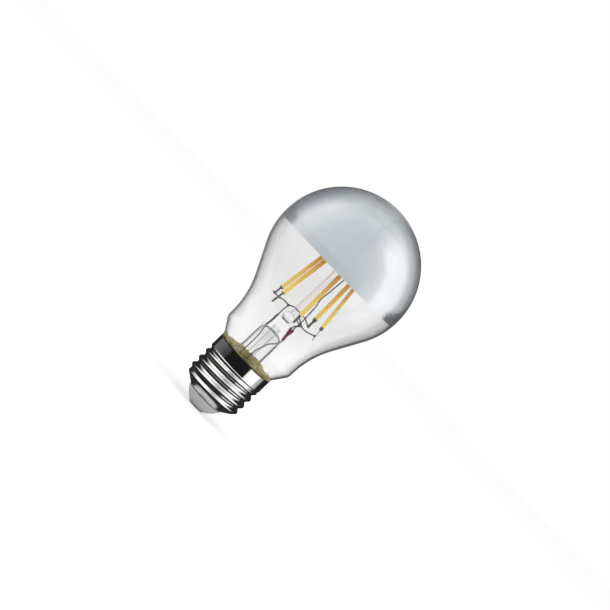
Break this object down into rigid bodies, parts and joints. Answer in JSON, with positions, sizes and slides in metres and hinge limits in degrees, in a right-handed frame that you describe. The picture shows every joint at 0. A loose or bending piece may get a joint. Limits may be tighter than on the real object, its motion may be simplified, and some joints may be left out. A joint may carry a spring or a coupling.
{
  "type": "light bulb",
  "caption": "Clear screw-cap lamp with a silvered crown, straight LED filaments on a glass stem and a small driver inside the cap",
  "frame": {"origin": "centre of the flat outer face of the centre contact, on the lamp's axis", "axes": "+Z along the lamp's axis from the contact to the silvered crown; +X to the right in the picture when the crown is up; -Y towards the camera"},
  "size_m": [0.06, 0.06, 0.107],
  "materials": {
    "clear_glass": "polished",
    "silver_coat": "satin",
    "seal_metal": "dull",
    "nickel_wire": "drawn",
    "copper_wire": "drawn",
    "phosphor": "satin",
    "tab_metal": "rolled",
    "cap_metal": "polished",
    "insulator": "matt",
    "contact_metal": "pressed",
    "cement": "matt",
    "circuit_board": "coated",
    "black_plastic": "moulded",
    "capacitor_sleeve": "sleeved",
    "resistor_coat": "coated"
  },
  "bodies": {
    "root": {"glass_envelope": "clear_glass", "mirror_crown": "silver_coat", "stem_flare": "clear_glass", "exhaust_tube": "clear_glass", "centre_rod": "clear_glass", "left_seal": "seal_metal", "right_seal": "seal_metal", "left_lead": "nickel_wire", "right_lead": "nickel_wire", "left_feed_wire": "copper_wire", "right_feed_wire": "copper_wire", "back_cross_wire": "nickel_wire", "front_cross_wire": "nickel_wire", "front_branch_wire": "nickel_wire", "riser_wire": "nickel_wire", "top_ring": "nickel_wire", "filament_1": "phosphor", "filament_2": "phosphor", "filament_3": "phosphor", "filament_4": "phosphor", "filament_5": "phosphor", "filament_6": "phosphor", "filament_tabs": "tab_metal", "screw_shell": "cap_metal", "cap_insulator": "insulator", "centre_contact": "contact_metal", "capping_cement": "cement", "driver_board": "circuit_board", "bridge_rectifier": "black_plastic", "driver_ic": "black_plastic", "smoothing_capacitor": "capacitor_sleeve", "inductor": "black_plastic", "fusible_resistor": "resistor_coat", "contact_wire": "copper_wire", "resistor_wire": "copper_wire", "shell_wire": "copper_wire"}
  },
  "joints": []
}
